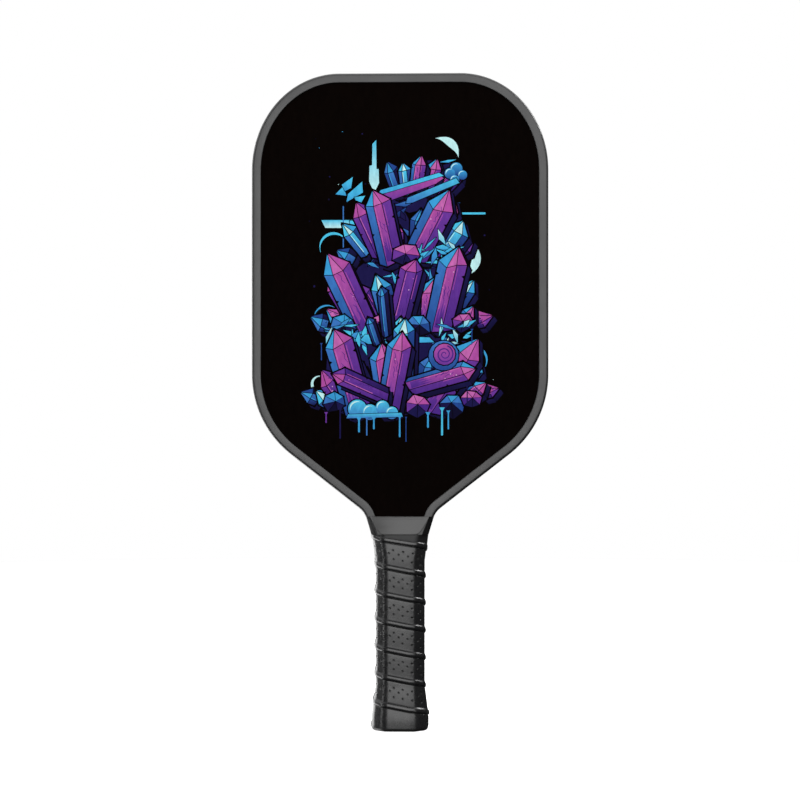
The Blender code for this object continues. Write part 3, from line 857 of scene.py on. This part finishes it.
def second_tier(art):
    druse(art, (24, 306), 30, 30, 42, 12, "sea plum pink ice")
    druse(art, (-16, 304), -34, 26, 38, 12, "sea pink ice plum")
    crystal(art, (9, 300), 27, 50, 17)
    crystal(art, (-5, 298), -13, 48, 16)
    shards(art, 16, (10, 38), (297, 316), (7, 14), BRIGHTS)
    boulder(art, (4, 303), 7)


def third_tier(art):
    druse(art, (36, 262), 36, 30, 34, 11, "sea plum ice pink")
    druse(art, (-34, 262), -42, 30, 34, 11, "sea ice pink plum")
    druse(art, (4, 258), 2, 30, 46, 12, "plum sea ice pink sea")
    crystal(art, (24, 255), 13, 55, 18)
    crystal(art, (-21, 253), -25, 57, 18)
    crystal(art, (-3, 252), 14, 50, 14, "plum")
    boulder(art, (-13, 259), 6)
    boulder(art, (12, 258), 7, "sea")
    boulder(art, (40, 260), 6)
    boulder(art, (-36, 258), 6.5, "sea")
    shards(art, 16, (-46, -20), (243, 260), (6, 13), BRIGHTS)
    shards(art, 14, (24, 44), (243, 260), (5, 12), BRIGHTS)
    art.outlined([(-25, 249), (-22, 252.5), (19, 250.5), (22, 247.5), (-20, 246.5)], "sky", "cyan")
    druse(art, (-8, 250), -4, 18, 30, 7, "sea ice sea")


def bottom_tier(art):
    """The widest tier, with a round swirl between its crystals."""
    druse(art, (40, 214), 48, 26, 36, 11, "sea plum ice pink")
    druse(art, (-40, 212), -44, 26, 34, 11, "sea pink ice plum")
    druse(art, (2, 206), 4, 30, 50, 13, "sea plum pink sea ice")
    crystal(art, (18, 204), 35, 56, 17)
    crystal(art, (-26, 202), -16, 56, 18)
    crystal(art, (-8, 201), 10, 54, 15)
    crystal(art, (6, 219), 74, 44, 12)
    crystal(art, (-8, 213), -66, 38, 11, "plum")
    art.outlined(arc((28, 239), (9.5, 9.5), 0, 340, 17), "navy", "blue", 0.9)
    art.outlined(arc((28.6, 239.8), (6.8, 6.8), 0, 336, 14), "violet", "magenta", 0.9)
    swirl(art, (28.6, 239.8), 5.8, 2.2, 0.9, "deep")
    boulder(art, (-42, 209), 6, "sea")
    boulder(art, (12, 207), 7)
    boulder(art, (34, 207), 7.5, "sea")
    boulder(art, (46, 211), 5.5)


def paint_runs(art):
    """A cloud and a bar at the foot of the heap, with drips under it and at its sides."""
    cloud(art, ((-27, 205, 6), (-19, 203, 5), (-11, 206, 4.4), (-5, 202.5, 4)), "blue", "cyan")
    art.outlined([(-34, 199), (-33, 201.5), (1, 202.5), (2, 200)], "blue", "cyan")
    for x, top, foot, wide, ink in (
        (-26, 200, 190, 1.8, "sky"), (-21, 200, 188, 1.2, "blue"), (-16.5, 200, 192, 1.5, "sky"),
        (0, 201, 187, 1.5, "sky"), (4, 200, 184, 0.8, "navy"), (-38, 206, 186, 1.4, "indigo"),
        (-47, 203, 196, 1.2, "violet"), (18, 203, 193, 1.6, "sky"), (27, 206, 188, 1.8, "cyan"),
        (31, 204, 192, 1.3, "sky"), (43, 220, 207, 1.1, "indigo"), (46, 256, 246, 0.9, "navy"),
        (-50, 247, 236, 0.9, "navy"),
    ):
        drip(art, x, top, foot, wide, ink)


def artwork(border):
    """An abstract heap of crystals, boulders, chips and paint runs in violet and cyan."""
    art = Print(border)
    for layer in (backdrop, top_tier, second_tier, third_tier, bottom_tier, paint_runs):
        layer(art)
    return art


def printed_faces():
    """The printed film of each face, which is the same on both."""
    outline = cut_at(moved_inwards(outer_edge(), PANEL_INSET), FILM_LOW.z)
    border = [(x / MM, z / MM) for x, z in outline]
    data = artwork(border[::-1]).mesh("print", FILM_LOW.y, FILM_HIGH.y)
    data.materials.append(printed_film())
    for name, turn in (("front", 0), ("rear", math.pi)):
        piece = add_object(name + "_print", data.copy())
        piece.data.transform(Matrix.Rotation(turn, 4, "Z"))
        stands_for(piece, "graphic_film", name + "_graphic_film")


# ---- handle


def shell_section(z):
    """Half width, half depth and bevel of the shells, which step out at the collar's foot."""
    return throat_section(z) if z > COLLAR_FOOT_Z else handle_section(z)


def shell_ring(z, out=0.0):
    return [(x, y) for (x, y), _ in rounded_octagon(shell_section(z), out, HANDLE_CORNER, 7)]


def half_line(loop):
    """The front half of a ring, from its left to its right, with ends at the parting line."""
    half = [p for p in loop if p[1] < -PARTING_HALF_GAP]
    right = [p for p in half if p[0] >= 0]
    left = [p for p in half if p[0] < 0]
    side_x = max(x for x, _ in loop)
    return [(-side_x, -PARTING_HALF_GAP)] + left + right + [(side_x, -PARTING_HALF_GAP)]


def handle_half(name, facing, look):
    """One of the two shells that clamp the panel's foot, split at the middle of its depth."""
    levels = [level * MM for level in LOWER_LEVELS] + [COLLAR_FOOT_Z, COLLAR_FOOT_Z + COLLAR_STEP]
    levels += [level * MM for level in UPPER_LEVELS] + [GUARD_LOW.z - GUARD_FOOT_GAP]
    rings = []
    for z in levels:
        wall = min(SHELL_WALL, shell_section(z)[1] - SHELL_ROOM)
        ring = half_line(shell_ring(z)) + half_line(shell_ring(z, -wall))[::-1]
        rings.append([(x * facing, y * facing, z) for x, y in ring])
    piece = rings_object(name + "_handle_half", rings, look, smooth_angle=30)
    stands_for(piece, "handle_plastic", name + "_handle_shell")


def throat_plate(name, facing, look):
    """The plate that closes the throat, with a bead along its top edge."""
    outline = [(-x * MM, z * MM) for x, z in PLATE_SIDE]
    outline += [(x * MM, z * MM) for x, z in reversed(PLATE_SIDE)]

    def surface(x, z, out):
        return (x * facing, -(throat_section(z)[1] + out) * facing, z)

    mesh = bmesh.new()
    top = PLATE_GAP + PLATE_THICK
    softened = 0.3 * PLATE_ROUND
    steps = ((0, PLATE_GAP), (0, top - PLATE_ROUND), (softened, top - softened), (PLATE_ROUND, top))
    add_rings(mesh, [[surface(x, z, out) for x, z in moved_inwards(outline, inwards, closed=True)]
                     for inwards, out in steps])
    add_rings(mesh, [[surface(x * MM, THROAT_Z + up * MM, top + out * share * MM)
                      for up, out in BEAD_SECTION] for x, share in BEAD_STATIONS])
    piece = mesh_object(name + "_throat_cover", mesh, look, 40)
    stands_for(piece, "throat_plastic", name + "_throat_plate")


def sized_ring(out, z):
    """The handle's octagon made larger or smaller, with its bevels in proportion."""
    wide, deep, bevel = handle_section(0)
    share = (deep + out) / deep
    corner = max(HANDLE_CORNER + out, HANDLE_CORNER * 0.6)
    grown = bevel + (2 - math.sqrt(2)) * out if out > 0 else bevel * share
    ring = rounded_octagon((wide + out, deep + out, grown), 0, corner, 6)
    return [(x, y, z) for (x, y), _ in ring]


def butt_cap(look):
    """The moulded cap: a rounded flange with a shallow recess in its end, and its long skirt."""
    profile = [(out * MM, z * MM) for out, z in END_PROFILE + FLANGE_PROFILE]
    profile += [(SKIRT_OUT, SKIRT_SHOULDER_Z), (SKIRT_TOP_OUT, SKIRT_TOP_Z), (CAP_BORE_OUT, SKIRT_TOP_Z),
                (CAP_BORE_OUT, CAP_FLOOR_Z), (CAP_MIDDLE_OUT, CAP_FLOOR_Z)]
    rings = [sized_ring(out, z) for out, z in profile]
    stands_for(rings_object("butt_cap_moulding", rings, look), "butt_plastic", "butt_cap")


# ---- grip


def strip_z(turn, above):
    """Height of a point of the strip, from its turn at the front's middle and its place across."""
    return RIB_Z - RIB_ABOVE_EDGE + GRIP_PITCH * turn + above


def strip_out(turn, above):
    """How far the skin stands out in millimetres. The rib flattens where the tape covers it."""
    out = float(np.interp(above / MM, *zip(*STRIP_PROFILE)))
    flat = min(max((turn - TAPED_TURN) / TAPED_RUNOUT, 0), 1)
    return out - max(out - SKIN_OUT, 0) * flat


def strip_turns(handle):
    """Turns at which the strip has a row of points across it: every corner, and in between."""
    shares = set(handle.shares[:-1])
    for a, b in zip(handle.shares, handle.shares[1:]):
        pieces = max(1, round((b - a) * handle.length / SKIN_STEP))
        shares |= {a + (b - a) * i / pieces for i in range(pieces)}
    return sorted(turn - share for turn in range(-1, 9) for share in shares)


def strip_points(handle):
    """Points of the strip: turn, place across in metres, out in millimetres, and no painted shade."""
    limits = (GRIP_FOOT_Z, GRIP_TOP_Z)
    across = [place * MM for place, _ in STRIP_PROFILE]
    points = []
    for turn in strip_turns(handle):
        points += [(turn, above) for above in across
                   if GRIP_FOOT_Z + EDGE_CLEAR < strip_z(turn, above) < GRIP_TOP_Z - EDGE_CLEAR]
        cut = [limit - strip_z(turn, 0) for limit in limits]
        points += [(turn, above) for above in cut if 0 < above < STRIP_WIDE]
    points += [((limit - strip_z(0, above)) / GRIP_PITCH, above) for above in across for limit in limits]
    return [(turn, above, strip_out(turn, above), 0.0) for turn, above in points]


def hole_points(handle):
    """Points of the perforations, as for the strip, and how much painted shade each has."""
    first, last = HOLE_TURNS
    points = []
    for above, shift in HOLE_ROWS:
        for i in range(int((last - first) * HOLES_PER_TURN)):
            turn = first + (i + shift) / HOLES_PER_TURN
            for radius, sink, dark, sides in HOLE_RINGS:
                # Rings of eight are turned by half a step from those of ten
                for k in range(sides):
                    angle = 2 * math.pi * (k + 0.5 * (sides == 8)) / sides
                    points.append((turn + radius * MM * math.cos(angle) / handle.length,
                                   (above + radius * math.sin(angle)) * MM, SKIN_OUT - sink, dark))
    return points


def grip_skin(handle, look):
    """The perforated outer skin, with the painted shade of its perforations and its shine on its points."""
    points = strip_points(handle) + hole_points(handle)
    flat = [Vector((point[0] * handle.length, point[1])) for point in points]
    _, _, faces, sources, _, _ = delaunay_2d_cdt(flat, [], [], 0, 1e-7)
    info = [points[source[0]] for source in sources]
    mesh = bmesh.new()
    hole = mesh.verts.layers.float.new("hole")
    worn = mesh.verts.layers.float.new("worn")
    tops, unders = [], []
    for turn, above, out, dark in info:
        z = min(max(strip_z(turn, above), GRIP_FOOT_Z), GRIP_TOP_Z)
        top = mesh.verts.new(handle.point(-turn, z, out * MM))
        # Painted shade of the perforations, carried to the skin's base colour
        top[hole] = dark
        on_rib = min(max((out - SHINE_OUT) / SHINE_RISE, 0), 1)
        top[worn] = max(above / STRIP_WIDE, SHINE_FULL * on_rib)
        tops.append(top)
        under = SKIN_UNDER + max(out - SKIN_OUT, 0)
        unders.append(mesh.verts.new(handle.point(-turn, z, under * MM)))
    kept = [face for face in faces
            if GRIP_FOOT_Z < sum(strip_z(*info[i][:2]) for i in face) / 3 < GRIP_TOP_Z]
    add_sheets(mesh, kept, tops, unders)
    bmesh.ops.delete(mesh, geom=[v for v in mesh.verts if not v.link_faces], context="VERTS")
    piece = mesh_object("grip_wrap", mesh, look, 50)
    stands_for(piece, "grip_skin", "grip_outer_skin")


def finishing_tape(handle, look):
    """The band that holds the end of the wrap, cut along the rib on the front."""
    shares = handle.shares[:-1]
    sweeps = [share if share < 0.25 else 0.5 - share if share < 0.75 else share - 1 for share in shares]
    feet = [RIB_Z + GRIP_PITCH * (TAPE_TURN - sweep) + TAPE_FOOT_ABOVE for sweep in sweeps]
    rings = []
    for part, out in TAPE_PROFILE:
        rings.append([handle.point(share, foot + (GRIP_TOP_Z - foot) * part, out * MM)
                      for share, foot in zip(shares, feet)])
    piece = rings_object("grip_finishing_tape", rings, look, closed=True)
    stands_for(piece, "finishing_tape", "finishing_tape")


# ---- studio


def camera():
    data = bpy.data.cameras.new("camera")
    data.sensor_width = 36
    data.lens = data.sensor_width * CAMERA_DISTANCE / VIEW_WIDE
    made = add_object("camera", data)
    turn = math.radians(CAMERA_TURN)
    made.location = (CAMERA_DISTANCE * math.sin(turn) + CAMERA_SHIFT, -CAMERA_DISTANCE * math.cos(turn),
                     CAMERA_HEIGHT)
    made.rotation_euler = (math.pi / 2, 0, turn)
    bpy.context.scene.camera = made


def softbox(name, place, target, size, power):
    data = bpy.data.lights.new(name, "AREA")
    data.shape = "RECTANGLE"
    data.size, data.size_y = size
    data.energy = power
    made = add_object(name, data)
    made.location = place
    made.rotation_euler = (Vector(target) - Vector(place)).to_track_quat("-Z", "Y").to_euler()


def white_room():
    """A world that is white to the camera and lights the paddle only faintly."""
    world = bpy.data.worlds.new("studio")
    bpy.context.scene.world = world
    world.use_nodes = True
    nodes, links = world.node_tree.nodes, world.node_tree.links
    nodes.clear()
    out = nodes.new("ShaderNodeOutputWorld")
    mix = nodes.new("ShaderNodeMixShader")
    path = nodes.new("ShaderNodeLightPath")
    links.new(path.outputs["Is Camera Ray"], mix.inputs["Fac"])
    for socket, grey in ((1, WORLD_GREY), (2, 1)):
        background = nodes.new("ShaderNodeBackground")
        background.inputs["Color"].default_value = (grey, grey, grey, 1)
        links.new(background.outputs[0], mix.inputs[socket])
    links.new(mix.outputs[0], out.inputs["Surface"])


def paper_floor():
    """A round of white paper that is seen but casts no light or reflection on the paddle."""
    look = Look("floor_paper", (0.85, 0.85, 0.85), 0.9, 0.0)
    fibres = look.noise(look.where(), 40, 4)
    look.feed(look.mixed(fibres, (0.84, 0.84, 0.84), (0.88, 0.88, 0.88)), "Base Color")
    look.inputs["Emission Color"].default_value = (1, 1, 1, 1)
    look.inputs["Emission Strength"].default_value = 0.9
    mesh = bmesh.new()
    bmesh.ops.create_circle(mesh, cap_ends=True, segments=64, radius=FLOOR_RADIUS)
    floor = mesh_object("floor", mesh, look.material)
    floor.location.z = -FLOOR_DROP
    floor.visible_glossy = False
    floor.visible_diffuse = False
    floor.visible_shadow = False


edge_guard(moulded("guard_plastic", (0.014, 0.014, 0.0145), 0.4, 0.6))
printed_faces()
shell_look = moulded("handle_plastic", (0.007, 0.007, 0.0072), 0.28, 0.42)
plate_look = moulded("throat_plastic", (0.016, 0.016, 0.016), 0.42, 0.7)
for side_name, side_facing in (("front", 1), ("rear", -1)):
    handle_half(side_name, side_facing, shell_look)
    throat_plate(side_name, side_facing, plate_look)
butt_cap(moulded("butt_plastic", (0.008, 0.008, 0.008), 0.45, 0.4))
wrapped_handle = Round()
grip_skin(wrapped_handle, leatherette())
tape_look = moulded("finishing_tape", (0.008, 0.008, 0.0084), 0.45, 0.32, 0.01 * MM, 1800, 0.15)
finishing_tape(wrapped_handle, tape_look)
hidden_looks()

bpy.context.scene.view_settings.view_transform = "Standard"
camera()
for light in SOFTBOXES:
    softbox(*light)
white_room()
paper_floor()
